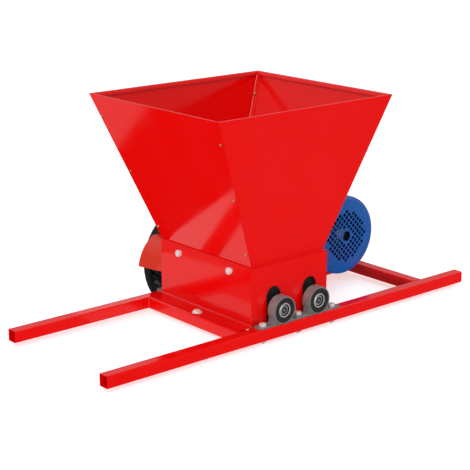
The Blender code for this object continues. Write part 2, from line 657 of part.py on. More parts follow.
def build_fan(axis, grip):
    """Make the radial cooling fan."""
    blades, hub, half = 8, 24 * MM, 1.5 * MM
    outline = []
    for i in range(blades):
        angle = 2 * math.pi * i / blades
        along, across = (math.cos(angle), math.sin(angle)), (-math.sin(angle), math.cos(angle))
        for reach, offset in ((hub, -half), (FAN_TIP, -half), (FAN_TIP, half), (hub, half)):
            outline.append((reach * along[0] + offset * across[0],
                            reach * along[1] + offset * across[1]))
    fan = prism("cooling_fan", outline, *FAN_Y, BLACK_PLASTIC, axis)
    edge, plate_near, plate_far = FAN_TIP + 8 * MM, FAN_Y[1] - MM, FAN_Y[1] + 2 * MM
    join(fan, turned("fan_plate", [(edge, plate_near), (edge, plate_far)], BLACK_PLASTIC, axis,
                     40, bored=False))
    drill(fan, (MOTOR_X, sum(FAN_Y) / 2, MOTOR_Z), grip, "Y", sides=24)


def build_terminal_box():
    """Make the terminal box with its lid and cable gland."""
    low = (MOTOR_X - TERMINAL_BOX_WIDTH / 2, TERMINAL_BOX_Y[0], TERMINAL_BOX_Z[0])
    high = (MOTOR_X + TERMINAL_BOX_WIDTH / 2, TERMINAL_BOX_Y[1], TERMINAL_BOX_Z[1])
    wall = TERMINAL_WALL
    shell = box("terminal_box", low, high, BLUE)
    cut(shell, box("terminal_box_hollow", (low[0] + wall, low[1] + wall, low[2] + wall),
                   (high[0] - wall, high[1] - wall, high[2] + wall), BLUE))
    box("terminal_box_lid", (low[0], low[1], high[2] + GAP), (high[0], high[1], high[2] + 6 * MM),
        BLUE)
    gland = turned("cable_gland", [(5 * MM, 0), (13 * MM, 0), (13 * MM, 9 * MM), (11 * MM, 9 * MM),
                                   (11 * MM, 20 * MM), (8 * MM, 24 * MM), (5 * MM, 24 * MM)],
                   BLACK_PLASTIC, (high[0] + GAP, sum(TERMINAL_BOX_Y) / 2,
                                   sum(TERMINAL_BOX_Z) / 2), 18)
    gland.rotation_euler = (0, 0, -math.pi / 2)


# ---------------------------------------------------------------- fasteners

def fastener(name, size, grip, place, nut=True, flange=0.0):
    """Make a hexagon bolt with its nut. The head's underside is at the place, shank down."""
    across, head, shank = size

    def ring(kind, z):
        """Return twelve points of a hexagon or a circle at a height."""
        points = []
        for i in range(12):
            angle = math.pi * i / 6
            radius = across / math.cos(math.pi / 6) if i % 2 == 0 else across
            radius = {"hex": radius, "round": shank, "flange": flange}[kind]
            points.append((radius * math.cos(angle), radius * math.sin(angle), z))
        return points

    rings = [ring("hex", head)]
    if flange:
        rings += [ring("hex", 2 * MM), ring("flange", 1.5 * MM), ring("flange", GAP)]
    else:
        rings.append(ring("hex", GAP))
    rings.append(ring("round", GAP))
    if nut:
        rings += [ring("round", -grip - GAP), ring("hex", -grip - GAP),
                  ring("hex", -grip - head), ring("round", -grip - head)]
    rings.append(ring("round", -grip - head - BOLT_END))
    return loft(name, rings, ZINC, place)


def build_fasteners():
    """Bolt the bearings, the motor, the hopper skirt and the box flange down."""
    tops = (FOOT_SHEET, 2 * FOOT_SHEET + GAP, FOOT_SHEET)
    for rail, y in zip(("front", "rear"), HOUSING_Y):
        for i, (x, stack) in enumerate(zip(BEARING_BOLT_X, tops)):
            top = TUBE + GAP + stack
            fastener(f"{rail}_bearing_bolt_{i + 1}", M8, top, (x, y, top))
    for row, y, bottom in (("front", FOOT_HOLE_Y[0], PLATE[2]), ("rear", FOOT_HOLE_Y[1], 0)):
        for hand, side in (("left", -1), ("right", 1)):
            place = (MOTOR_X + side * FOOT_HOLE_X, y, MOTOR_FOOT_TOP)
            fastener(f"motor_bolt_{row}_{hand}", M10, MOTOR_FOOT_TOP - bottom, place)
    for i, y in enumerate(HOPPER_BOLT_Y):
        grip = 2 * SHEET + GAP
        bolt = fastener(f"hopper_bolt_{i + 1}", M8, grip, (BOX_LEFT, y, HOPPER_BOLT_Z))
        bolt.rotation_euler = (0, -math.pi / 2, 0)
    top = TUBE + GAP + SHEET
    fastener("box_flange_bolt", M8, TUBE_WALL + GAP + SHEET, (LEFT_CROSS_X, FLANGE_BOLT_Y, top),
             flange=9.5 * MM)


def main():
    """Clear the scene and build every piece."""
    for old in list(bpy.data.objects):
        bpy.data.objects.remove(old, do_unlink=True)
    build_frame()
    build_box_sides()
    build_box_ends()
    build_hopper()
    build_bearings()
    build_rollers()
    build_gears()
    build_guard()
    build_belt_drive()
    build_motor()
    build_fasteners()


main()
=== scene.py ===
"""Looks for the motor-driven twin-roller grape crusher: finishes, fine pieces, light and camera."""

import json
import logging
import math
from dataclasses import dataclass, field
from enum import Enum

import bmesh
import bpy
from mathutils import Matrix, Vector


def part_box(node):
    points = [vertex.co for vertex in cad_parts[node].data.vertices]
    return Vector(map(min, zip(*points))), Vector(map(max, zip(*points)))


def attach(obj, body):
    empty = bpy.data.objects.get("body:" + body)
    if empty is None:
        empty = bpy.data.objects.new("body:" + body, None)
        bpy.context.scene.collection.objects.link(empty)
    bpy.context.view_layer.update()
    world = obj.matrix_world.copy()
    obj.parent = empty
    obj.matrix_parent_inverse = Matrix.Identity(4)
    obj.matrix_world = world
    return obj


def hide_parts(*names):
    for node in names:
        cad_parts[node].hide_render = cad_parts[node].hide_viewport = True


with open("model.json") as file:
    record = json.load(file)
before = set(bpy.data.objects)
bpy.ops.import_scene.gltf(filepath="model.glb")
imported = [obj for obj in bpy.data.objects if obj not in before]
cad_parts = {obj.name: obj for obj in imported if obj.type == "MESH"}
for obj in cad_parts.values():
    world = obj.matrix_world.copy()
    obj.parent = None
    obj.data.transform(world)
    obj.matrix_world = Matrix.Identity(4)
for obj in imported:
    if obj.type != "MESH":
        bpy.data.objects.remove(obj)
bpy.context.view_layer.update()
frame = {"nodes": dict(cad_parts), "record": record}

LOG = logging.getLogger("grape_crusher")
MM = 0.001
BODY = "frame"


class Hand(Enum):
    """The two roller sets, by the side they stand on."""

    LEFT = "left"
    RIGHT = "right"


class Row(Enum):
    """The two bearing rows, one on each rail."""

    FRONT = "front"
    REAR = "rear"


def linear(code: str) -> tuple[float, float, float, float]:
    """Turn an sRGB hex colour into linear light.

    Args:
        code: six hex digits, with or without a leading hash.

    Returns:
        Linear red, green, blue and an alpha of one.
    """
    digits = code.lstrip("#")
    parts = [int(digits[i:i + 2], 16) / 255 for i in (0, 2, 4)]
    light = [p / 12.92 if p <= 0.04045 else ((p + 0.055) / 1.055) ** 2.4 for p in parts]
    return (*light, 1.0)


def add_node(tree: bpy.types.NodeTree, kind: str, settings: dict | None = None,
             links: dict | None = None) -> bpy.types.Node:
    """Add a node, set its values and wire its inputs.

    Args:
        tree: the node tree that gets the node.
        kind: Blender's node type.
        settings: values by input name or number, or by property name.
        links: output sockets by input name or number.

    Returns:
        The new node.
    """
    node = tree.nodes.new(kind)
    for key, value in (settings or {}).items():
        if isinstance(key, int) or key in node.inputs:
            node.inputs[key].default_value = value
        else:
            setattr(node, key, value)
    for key, source in (links or {}).items():
        tree.links.new(source, node.inputs[key])
    return node


# ---------------------------------------------------------------- finishes

@dataclass(frozen=True)
class Finish:
    """A solid finish with slow colour drift, patchy gloss and a fine bump."""

    name: str
    colour: str
    shade: str
    roughness: float
    metallic: float = 0.0
    specular: float = 0.5
    drift_mm: float = 60.0
    gloss_mm: float = 25.0
    gloss_spread: float = 0.06
    grain_mm: float = 2.0
    grain_depth_mm: float = 0.01
    grain_stretch: tuple[float, float, float] = (1.0, 1.0, 1.0)

    def build(self) -> bpy.types.Material:
        """Make the material, or find the one already made.

        Returns:
            The material.
        """
        found = bpy.data.materials.get(self.name)
        if found:
            return found
        material = bpy.data.materials.new(self.name)
        material.use_nodes = True
        tree = material.node_tree
        shader = tree.nodes["Principled BSDF"]
        shader.inputs["Metallic"].default_value = self.metallic
        shader.inputs["Specular IOR Level"].default_value = self.specular
        where = add_node(tree, "ShaderNodeTexCoord").outputs["Object"]
        tree.links.new(self.colours(tree, where), shader.inputs["Base Color"])
        tree.links.new(self.gloss(tree, where), shader.inputs["Roughness"])
        tree.links.new(self.bump(tree, where), shader.inputs["Normal"])
        return material

    def colours(self, tree: bpy.types.NodeTree, where: bpy.types.NodeSocket) -> bpy.types.NodeSocket:
        """Drift between the main colour and its shade.

        Args:
            tree: the material's nodes.
            where: the position output.

        Returns:
            The colour output.
        """
        drift = add_node(tree, "ShaderNodeTexNoise",
                         {"Scale": 1 / (self.drift_mm * MM), "Detail": 4.0}, {"Vector": where})
        mix = add_node(tree, "ShaderNodeMix", {"data_type": "RGBA", 6: linear(self.colour),
                                               7: linear(self.shade)}, {0: drift.outputs["Fac"]})
        return mix.outputs[2]

    def gloss(self, tree: bpy.types.NodeTree, where: bpy.types.NodeSocket) -> bpy.types.NodeSocket:
        """Spread the roughness in soft patches.

        Args:
            tree: the material's nodes.
            where: the position output.

        Returns:
            The roughness output.
        """
        patches = add_node(tree, "ShaderNodeTexNoise",
                           {"Scale": 1 / (self.gloss_mm * MM), "Detail": 3.0}, {"Vector": where})
        # The noise mostly stays between 0.3 and 0.7, so that range gets the whole spread.
        spread = add_node(tree, "ShaderNodeMapRange",
                          {"From Min": 0.3, "From Max": 0.7,
                           "To Min": max(self.roughness - self.gloss_spread, 0.02),
                           "To Max": self.roughness + self.gloss_spread},
                          {"Value": patches.outputs["Fac"]})
        return spread.outputs["Result"]

    def bump(self, tree: bpy.types.NodeTree, where: bpy.types.NodeSocket) -> bpy.types.NodeSocket:
        """Raise the fine grain of the surface.

        Args:
            tree: the material's nodes.
            where: the position output.

        Returns:
            The normal output.
        """
        stretch = add_node(tree, "ShaderNodeMapping", {"Scale": self.grain_stretch},
                           {"Vector": where})
        grain = add_node(tree, "ShaderNodeTexNoise",
                         {"Scale": 1 / (self.grain_mm * MM), "Detail": 2.0},
                         {"Vector": stretch.outputs["Vector"]})
        return add_node(tree, "ShaderNodeBump", {"Distance": self.grain_depth_mm * MM},
                        {"Height": grain.outputs["Fac"]}).outputs["Normal"]


# Baked polyester powder coat: wet-looking gloss with a faint orange peel of 2 to 3 mm.
RED_POWDER = Finish("red_polyester_powder_coat", "#E10200", "#DC0100", 0.12, specular=0.4,
                    drift_mm=220, gloss_mm=90, gloss_spread=0.03, grain_mm=2.6,
                    grain_depth_mm=0.004)
# Powder coat of the gear hood: the same gloss as the rest, in a darker and more orange red.
HOOD_POWDER = Finish("orange_red_powder_coat", "#CC2A12", "#C5260F", 0.16, specular=0.35,
                     drift_mm=120, gloss_mm=60, gloss_spread=0.03, grain_mm=2.6,
                     grain_depth_mm=0.004)
# Alkyd machine enamel sprayed over a casting: softer gloss, slightly uneven.
BLUE_ENAMEL = Finish("blue_alkyd_enamel", "#0E5EB4", "#0B54A4", 0.27, drift_mm=40,
                     grain_mm=1.6, grain_depth_mm=0.012)
# Black paint on grey iron: the sand-cast grain of about 1 mm shows through.
BLACK_IRON = Finish("painted_grey_iron", "#17181A", "#0E0F10", 0.38, drift_mm=30, grain_mm=1.2,
                    grain_depth_mm=0.03)
# Zinc-plated pressed steel: satin grey with cloudy plating. This and the next ones that are plated or
# ground are only partly metallic, since beside so much red paint a full mirror would turn them red.
PRESSED_STEEL = Finish("zinc_plated_pressed_steel", "#9C9B9C", "#818081", 0.38, metallic=0.45,
                       drift_mm=12, gloss_mm=8, grain_mm=0.8, grain_depth_mm=0.006)
# Drawn and ground bright steel: pale, with fine lines that run along the shaft.
BRIGHT_STEEL = Finish("ground_bearing_steel", "#C9C9CA", "#B2B2B4", 0.3, metallic=0.5,
                      drift_mm=10, gloss_mm=5, grain_mm=0.7, grain_depth_mm=0.004,
                      grain_stretch=(1.0, 0.2, 1.0))
# Nitrile seal: dull black rubber moulded on a steel washer.
SEAL_RUBBER = Finish("nitrile_bearing_seal", "#2B2C2D", "#202122", 0.55, drift_mm=8,
                     grain_mm=0.7, grain_depth_mm=0.01)
# Wrapped V-belt: matte black rubber, rough from its cloth cover, drawn at 1.2 mm so it shows.
BELT_RUBBER = Finish("wrapped_belt_rubber", "#1A1A1A", "#111111", 0.78, specular=0.3,
                     drift_mm=15, grain_mm=1.2, grain_depth_mm=0.08)
# Powder coat over a trimmed sheet edge, in a lighter, pinker red that is a painted highlight along
# the edge.
EDGE_HIGHLIGHT_POWDER = Finish("red_powder_painted_edge_highlight", "#F2574C", "#E8463C", 0.2, drift_mm=12,
                     gloss_mm=6, grain_mm=1.5, grain_depth_mm=0.01)
# Clear-passivated zinc on bolts: near white and bright.
BRIGHT_ZINC = Finish("clear_zinc_plate", "#F6F4F1", "#DEDBD8", 0.26, metallic=0.4, drift_mm=4,
                     gloss_mm=3, grain_mm=0.6, grain_depth_mm=0.006)
# Yellow-passivated zinc on sheet screws: pale gold that drifts to a browner gold.
YELLOW_ZINC = Finish("yellow_zinc_plate", "#D9BC82", "#C79C6C", 0.28, metallic=1.0, drift_mm=2,
                     gloss_mm=2, grain_mm=0.5, grain_depth_mm=0.006)
# Cast black nylon on the rollers: near black with a waxy satin skin.
BLACK_NYLON = Finish("cast_black_nylon", "#1B1B1C", "#121213", 0.46, drift_mm=20, grain_mm=1.4,
                     grain_depth_mm=0.02)
# Steel of a turned shaft end, also put on the bearings' inner rings: darker than the ground surfaces
# and finely uneven.
CUT_STEEL = Finish("lathe_cut_steel", "#4A4B4D", "#3A3B3D", 0.4, metallic=0.4, drift_mm=3,
                   gloss_mm=2, grain_mm=0.6, grain_depth_mm=0.01)
# Stacked electrical steel: dark, with a line at every few laminations, drawn at 1.5 mm.
LAMINATIONS = Finish("stacked_electrical_steel", "#5C5D60", "#4A4B4E", 0.5, metallic=0.8,
                     grain_mm=1.5, grain_depth_mm=0.05, grain_stretch=(0.02, 1.0, 0.02))
# Moulded polypropylene: plain black, faint spark-eroded texture.
BLACK_PLASTIC = Finish("moulded_polypropylene", "#1C1C1D", "#151516", 0.48, grain_mm=0.9,
                       grain_depth_mm=0.015)

SLOT_FINISHES = {
    "red_powder_coat": RED_POWDER, "blue_enamel": BLUE_ENAMEL, "black_cast_iron": BLACK_IRON,
    "pressed_steel": PRESSED_STEEL, "bright_steel": BRIGHT_STEEL, "bearing_seal": SEAL_RUBBER,
    "belt_rubber": BELT_RUBBER, "zinc_plate": BRIGHT_ZINC, "black_nylon": BLACK_NYLON,
    "lamination_steel": LAMINATIONS, "black_plastic": BLACK_PLASTIC,
}


# ---------------------------------------------------------------- mesh tools

def dress(piece: bpy.types.Object, finish: Finish) -> None:
    """Give a piece one finish.

    Args:
        piece: the object to dress.
        finish: what it is made of.
    """
    piece.data.materials.clear()
    piece.data.materials.append(finish.build())


def round_edges(name: str, width: float, angle: float = 32.0) -> None:
    """Round a CAD node's sharp edges and shade it smooth.

    Args:
        name: the node's name.
        width: the bevel's width in metres.
        angle: edges sharper than this many degrees are rounded.
    """
    piece = frame["nodes"][name]
    piece.data.shade_smooth()
    bevel = piece.modifiers.new("edge_radius", "BEVEL")
    bevel.width = width
    bevel.segments = 2
    bevel.limit_method = "ANGLE"
    bevel.angle_limit = math.radians(angle)
    bevel.harden_normals = True
    bevel.miter_outer = "MITER_ARC"
    LOG.info("rounded %s by %.2f mm", name, width / MM)


def to_object(name: str, bm: bmesh.types.BMesh) -> bpy.types.Object:
    """Turn a bmesh into an object of the scene.

    Args:
        name: the object's name.
        bm: its mesh, which is freed.

    Returns:
        The new object.
    """
    mesh = bpy.data.meshes.new(name)
    bm.to_mesh(mesh)
    bm.free()
    made = bpy.data.objects.new(name, mesh)
    bpy.context.scene.collection.objects.link(made)
    return made


def place(name: str, bm: bmesh.types.BMesh, finish: Finish, body: str = BODY,
          smooth_angle: float = 35.0) -> bpy.types.Object:
    """Turn a bmesh in the row frame into a dressed piece that rides on a body.

    Args:
        name: the piece's name.
        bm: its mesh, which is freed.
        finish: what it is made of.
        body: the CAD body it moves with.
        smooth_angle: edges flatter than this many degrees are shaded smooth.

    Returns:
        The new piece.
    """
    bmesh.ops.recalc_face_normals(bm, faces=bm.faces[:])
    piece = to_object(name, bm)
    piece.data.shade_smooth()
    piece.data.set_sharp_from_angle(angle=math.radians(smooth_angle))
    dress(piece, finish)
    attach(piece, body)
    LOG.info("made %s of %s on %s", name, finish.name, body)
    return piece


def skin(bm: bmesh.types.BMesh, rings: list[list[Vector]], closed: bool = False) -> None:
    """Skin equal point rings and cap their ends.

    Args:
        bm: the mesh that gets the faces.
        rings: point loops, all of one length.
        closed: join the last ring to the first and leave the ends open.
    """
    loops = [[bm.verts.new(point) for point in ring] for ring in rings]
    pairs = list(zip(loops, loops[1:])) + ([(loops[-1], loops[0])] if closed else [])
    for low, high in pairs:
        for i, corner in enumerate(low):
            j = (i + 1) % len(low)
            bm.faces.new((corner, low[j], high[j], high[i]))
    if not closed:
        bm.faces.new(loops[0][::-1])
        bm.faces.new(loops[-1])


def turn(profile: list[tuple[float, float]], origin: Vector, axis: Vector,
         sides: int) -> list[list[Vector]]:
    """Return the rings of a turned shape.

    Args:
        profile: (radius, distance along the axis) points.
        origin: where the axis distance is zero.
        axis: the turning axis.
        sides: points in each ring.

    Returns:
        One ring of points for each profile point.
    """
    along = axis.normalized()
    across = along.orthogonal().normalized()
    other = along.cross(across)
    rings = []
    for radius, distance in profile:
        ring = []
        for i in range(sides):
            angle = 2 * math.pi * i / sides
            ring.append(origin + along * distance
                        + (across * math.cos(angle) + other * math.sin(angle)) * radius)
        rings.append(ring)
    return rings


# ---------------------------------------------------------------- sheet metal and frame

@dataclass
class TubeFrame:
    """The two rails, two cross tubes and the motor plate, with their welds."""

    rails: tuple[str, str] = ("near_rail", "far_rail")
    cross_tubes: tuple[str, str] = ("left_cross_tube", "right_cross_tube")
    corner: float = 0.5 * MM
    bead: float = 1.7 * MM
    ripple: float = 2.4 * MM
    swell: float = 0.16

    def build(self) -> None:
        """Round the tubes' edges and lay the weld beads."""
        for name in (*self.rails, *self.cross_tubes, "motor_plate"):
            round_edges(name, self.corner)
        for tube in self.cross_tubes:
            for rail in self.rails:
                for side in (0, 1):
                    self.lay(tube, rail, side)

    def lay(self, tube: str, rail: str, side: int) -> None:
        """Lay one upright bead where a cross tube meets a rail.

        Args:
            tube: the cross tube's node.
            rail: the rail's node.
            side: 0 for the tube's left face, 1 for its right face.
        """
        low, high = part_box(tube)
        rail_low, rail_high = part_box(rail)
        x = (low.x, high.x)[side]
        y = rail_high.y if rail_high.y < low.y + self.bead else rail_low.y
        steps, margin, tapered = 18, 2 * MM, 0.35
        profile = []
        for i in range(steps + 1):
            height = low.z + margin + (high.z - low.z - 2 * margin) * i / steps
            swell = 1 + self.swell * math.sin(2 * math.pi * height / self.ripple)
            profile.append((self.bead * swell * (tapered if i in (0, steps) else 1), height))
        bm = bmesh.new()
        skin(bm, turn(profile, Vector((x, y, 0)), Vector((0, 0, 1)), 10))
        place(f"weld_{tube}_{rail}_{side}", bm, RED_POWDER)


@dataclass
class CrushingBox:
    """The folded sheet box that holds the rollers."""

    panels: tuple[str, ...] = ("box_left_panel", "box_right_panel", "box_front_panel",
                               "box_back_panel")
    edge: float = 0.35 * MM
    tack_length: float = 10 * MM
    tack_radius: float = 2.4 * MM

    def build(self) -> None:
        """Round the sheet's edges and lay the corner weld."""
        for name in self.panels:
            round_edges(name, self.edge)
        self.tack()

    def tack(self) -> None:
        """Lay the short weld that ties the left panel's foot corner to the near rail."""
        box_low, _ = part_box("box_front_panel")
        _, rail_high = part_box("near_rail")
        foot_low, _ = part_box("box_left_panel")
        start = Vector((box_low.x - self.tack_length, rail_high.y + 1.5 * MM, foot_low.z - 0.4 * MM))
        bead = self.tack_radius
        profile = [(0.3 * bead, 0.0), (bead, 1.5 * MM), (0.85 * bead, 3.5 * MM), (bead, 5.5 * MM),
                   (0.85 * bead, 7.5 * MM), (bead, self.tack_length - 1 * MM),
                   (0.3 * bead, self.tack_length + 1 * MM)]
        bm = bmesh.new()
        skin(bm, turn(profile, start, Vector((1, 0, 0)), 12))
        place("weld_left_foot_corner", bm, RED_POWDER)


@dataclass
class Hopper:
    """The tapered sheet hopper with its folded rim and the screws down its corners."""

    edge: float = 0.4 * MM
    hem: float = 8.5 * MM
    sheet: float = 1.5 * MM
    screw_radius: float = 3.1 * MM
    screw_shares: tuple[float, ...] = (0.09, 0.475, 0.85)
    screw_inset: float = 8 * MM
    seam_off: float = 5.5 * MM
    seam_width: float = 2.6 * MM
    sides: tuple[str, ...] = ("left", "right", "front", "back")

    def build(self) -> None:
        """Round the panels' edges, fold the rim, drive the screws and trim the inside corners."""
        for side in self.sides:
            round_edges(f"hopper_{side}_panel", self.edge)
        self.fold_rim()
        corners = [(side, end) for side in (-1, 1) for end in (-1, 1)]
        screws = [(*corner, share) for corner in corners for share in self.screw_shares]
        for screw in screws:
            self.screw(*screw)
        for corner in corners:
            self.seam(*corner)
        for screw in screws:
            self.screw_tail(*screw)

    @staticmethod
    def tag(side: int, end: int) -> str:
        """Return a corner's two letters, left or right and then front or back."""
        return ("l" if side < 0 else "r") + ("f" if end < 0 else "b")

    def screw_height(self, share: float) -> float:
        """Return the height of a screw that stands a share of the way up the slope."""
        neck, mouth = self.neck()[0].z, self.mouth()[0].z
        return neck + (mouth - neck) * share

    def inside_corner(self, side: int, end: int, height: float, off: float) -> Vector:
        """Return a point beside an inside corner edge.

        Args:
            side: -1 for the left edge, 1 for the right.
            end: -1 for the front edge, 1 for the back.
            height: the height in metres.
            off: distance in from the outside faces.

        Returns:
            The point.
        """
        return self.corner(side, end, height) - Vector((side * off, end * off, 0))

    def seam(self, side: int, end: int) -> None:
        """Run the trimmed flange edge down one inside corner, in a lighter red that is a painted
        highlight along the edge.

        Args:
            side: -1 for the left edge, 1 for the right.
            end: -1 for the front edge, 1 for the back.
        """
        neck, mouth = self.neck()[0].z, self.mouth()[0].z
        half = self.seam_width / 2
        rings = []
        for height in (neck + 2 * MM, mouth - self.hem):
            middle = self.inside_corner(side, end, height, self.seam_off)
            rings.append([middle + Vector((dx * half, dy * half, 0))
                          for dx, dy in ((-1, -0.4), (-0.4, -1), (0.4, -1), (1, -0.4),
                                         (1, 0.4), (0.4, 1), (-0.4, 1), (-1, 0.4))])
        bm = bmesh.new()
        skin(bm, rings)
        # The strip's lighter red is a painted highlight on the rounded edge.
        place(f"hopper_seam_painted_highlight_{self.tag(side, end)}", bm, EDGE_HIGHLIGHT_POWDER, smooth_angle=60)

    def screw_tail(self, side: int, end: int, share: float) -> None:
        """Let a screw's nut and tip stand out inside the hopper.

        Args:
            side: -1 for the left panel, 1 for the right.
            end: -1 for the front edge, 1 for the back.
            share: how far up the sloping edge, from 0 to 1.
        """
        start = self.inside_corner(side, end, self.screw_height(share), self.screw_inset)
        start.x += side * (self.screw_inset - 2 * self.sheet - 0.5 * MM)
        nut, tip = self.screw_radius * 1.15, self.screw_radius * 0.55
        profile = [(nut, 0.0), (nut, 2.6 * MM), (nut * 0.8, 3.2 * MM), (tip, 3.2 * MM),
                   (tip, 6.4 * MM), (tip * 0.6, 7 * MM)]
        bm = bmesh.new()
        skin(bm, turn(profile, start, Vector((-side, 0, 0)), 6))
        place(f"hopper_nut_{self.tag(side, end)}_{round(share * 100)}", bm, YELLOW_ZINC,
              smooth_angle=20)

    def corner(self, side: int, end: int, height: float) -> Vector:
        """Return the point on an outside corner edge at a height.

        Args:
            side: -1 for the left edge, 1 for the right.
            end: -1 for the front edge, 1 for the back.
            height: the height in metres.

        Returns:
            The corner point.
        """
        neck_low, neck_high = self.neck()
        mouth_low, mouth_high = self.mouth()
        share = (height - neck_low.z) / (mouth_low.z - neck_low.z)
        low, high = neck_low.lerp(mouth_low, share), neck_high.lerp(mouth_high, share)
        return Vector((low.x if side < 0 else high.x, low.y if end < 0 else high.y, height))

    def neck(self) -> tuple[Vector, Vector]:
        """Find the hopper's outside section at its neck.

        Returns:
            The section's low and high corners.
        """
        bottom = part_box("hopper_left_panel")[0].z + 1 * MM
        left, right = ([v.co for v in frame["nodes"][name].data.vertices if v.co.z < bottom]
                       for name in ("hopper_left_panel", "hopper_right_panel"))
        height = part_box("box_left_panel")[1].z
        return (Vector((min(p.x for p in left), min(p.y for p in left), height)),
                Vector((max(p.x for p in right), max(p.y for p in right), height)))

    def mouth(self) -> tuple[Vector, Vector]:
        """Find the hopper's outside section at its mouth.

        Returns:
            The section's low and high corners.
        """
        left_low, left_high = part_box("hopper_left_panel")
        right_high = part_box("hopper_right_panel")[1]
        return (Vector((left_low.x, left_low.y, left_high.z)),
                Vector((right_high.x, right_high.y, left_high.z)))

    def fold_rim(self) -> None:
        """Fold the rim inwards: a rounded top edge and a flat hem against each wall."""
        low, high = self.mouth()
        neck_low, neck_high = self.neck()
        height = low.z
        lean_x = ((neck_low.x - low.x) + (high.x - neck_high.x)) / 2 / (height - neck_low.z)
        lean_y = ((neck_low.y - low.y) + (high.y - neck_high.y)) / 2 / (height - neck_low.z)
        inner = 2 * self.sheet + 0.6 * MM
        section = [(self.sheet * 0.9, -1.2 * MM), (self.sheet, -0.4 * MM),
                   (self.sheet + 0.7 * MM, 0.0), (inner + 0.5 * MM, 0.0),
                   (inner + 1.3 * MM, -0.5 * MM), (inner + 1.6 * MM, -1.4 * MM),
                   (inner + 1.6 * MM, -self.hem), (inner + 0.1 * MM, -self.hem)]
        rings = []
        for side, end in ((-1, -1), (1, -1), (1, 1), (-1, 1)):
            ring = []
            for inset, drop in section:
                x = (low.x if side < 0 else high.x) - side * (inset - drop * lean_x)
                y = (low.y if end < 0 else high.y) - end * (inset - drop * lean_y)
                ring.append(Vector((x, y, height + drop)))
            rings.append(ring)
        bm = bmesh.new()
        skin(bm, rings, closed=True)
        rim = place("hopper_rim_hem", bm, RED_POWDER)

    def screw(self, side: int, end: int, share: float) -> None:
        """Drive one pan-head screw beside a corner.

        Args:
            side: -1 for the left panel, 1 for the right.
            end: -1 for the front edge, 1 for the back.
            share: how far up the sloping edge, from 0 to 1.
        """
        height = self.screw_height(share)
        point = self.corner(side, end, height) - Vector((0, end * self.screw_inset, 0))
        slope = self.mouth()[0] - self.neck()[0]
        lean = math.atan2(abs(slope.x), slope.z)
        out = Vector((side * math.cos(lean), 0, -math.sin(lean)))
        r = self.screw_radius
        profile = [(0.3 * r, -0.2 * MM), (r, -0.2 * MM), (r, 0.9 * MM), (0.85 * r, 1.7 * MM),
                   (0.5 * r, 2.2 * MM), (0.42 * r, 2.2 * MM), (0.3 * r, 1.2 * MM)]
        bm = bmesh.new()
        skin(bm, turn(profile, point, out, 18))
        place(f"hopper_screw_{self.tag(side, end)}_{round(share * 100)}", bm, YELLOW_ZINC)


# ---------------------------------------------------------------- rollers and bearings

@dataclass
class PillowBlocks:
    """Four pressed-steel pillow blocks and their shafts and rollers."""

    housing_edge: float = 0.5 * MM
    ring_edge: float = 0.25 * MM
    shaft_edge: float = 0.2 * MM
    roller_edge: float = 0.5 * MM
    gear_edge: float = 0.3 * MM

    def build(self) -> None:
        """Round the housings, rings, shafts, rollers and gears, and add the bearing faces."""
        for row in Row:
            for hand in Hand:
                stem = f"{row.value}_{hand.value}_bearing"
                round_edges(f"{stem}_housing", self.housing_edge, angle=40)
                for ring in ("inner", "outer"):
                    round_edges(f"{stem}_{ring}_ring", self.ring_edge, angle=40)
                # The inner rings wear the darker cut steel, not the ground steel of their slot.
                dress(frame["nodes"][f"{stem}_inner_ring"], CUT_STEEL)
                self.lip(stem, row, hand)
        for hand in Hand:
            self.shaft_face(hand)
            round_edges(f"{hand.value}_roller_shaft", self.shaft_edge)
            round_edges(f"{hand.value}_roller", self.roller_edge, angle=50)
            round_edges(f"{hand.value}_gear", self.gear_edge, angle=30)

    @staticmethod
    def lip(stem: str, row: Row, hand: Hand) -> None:
        """Add the bright lip that stands round the inner ring's face.

        Args:
            stem: the start of the bearing's node names.
            row: which rail the bearing is on.
            hand: which roller it carries.
        """
        low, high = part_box(f"{stem}_inner_ring")
        centre = (low + high) / 2
        out = -1 if row is Row.FRONT else 1
        face = low.y if out < 0 else high.y
        radius = (high.x - low.x) / 2
        start = Vector((centre.x, face, centre.z))
        profile = [(radius - 1.7 * MM, -0.3 * MM), (radius - 1.5 * MM, 0.35 * MM),
                   (radius - 0.2 * MM, 0.35 * MM), (radius + 0.1 * MM, -0.3 * MM)]
        bm = bmesh.new()
        skin(bm, turn(profile, start, Vector((0, out, 0)), 40), closed=True)
        place(f"{stem}_lip", bm, BRIGHT_ZINC, f"{hand.value}_roller_set")

    @staticmethod
    def shaft_face(hand: Hand) -> None:
        """Add the cut end of a roller shaft with its centre hole.

        Args:
            hand: which shaft.
        """
        low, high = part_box(f"{hand.value}_roller_shaft")
        centre = (low + high) / 2
        radius = (high.x - low.x) / 2
        start = Vector((centre.x, low.y, centre.z))
        profile = [(radius - 2.2 * MM, -0.2 * MM), (radius - 2.4 * MM, 0.25 * MM),
                   (5.0 * MM, 0.25 * MM), (4.7 * MM, 0.1 * MM), (4.4 * MM, 0.25 * MM),
                   (2.4 * MM, 0.25 * MM), (1.2 * MM, -0.15 * MM)]
        bm = bmesh.new()
        skin(bm, turn(profile, start, Vector((0, -1, 0)), 40))
        place(f"{hand.value}_shaft_face", bm, CUT_STEEL, f"{hand.value}_roller_set")


@dataclass(frozen=True)
class BoltStyle:
    """One size of hexagon bolt: half its width across flats, head height, shank radius, pitch."""

    across: float
    head: float
    shank: float
    pitch: float


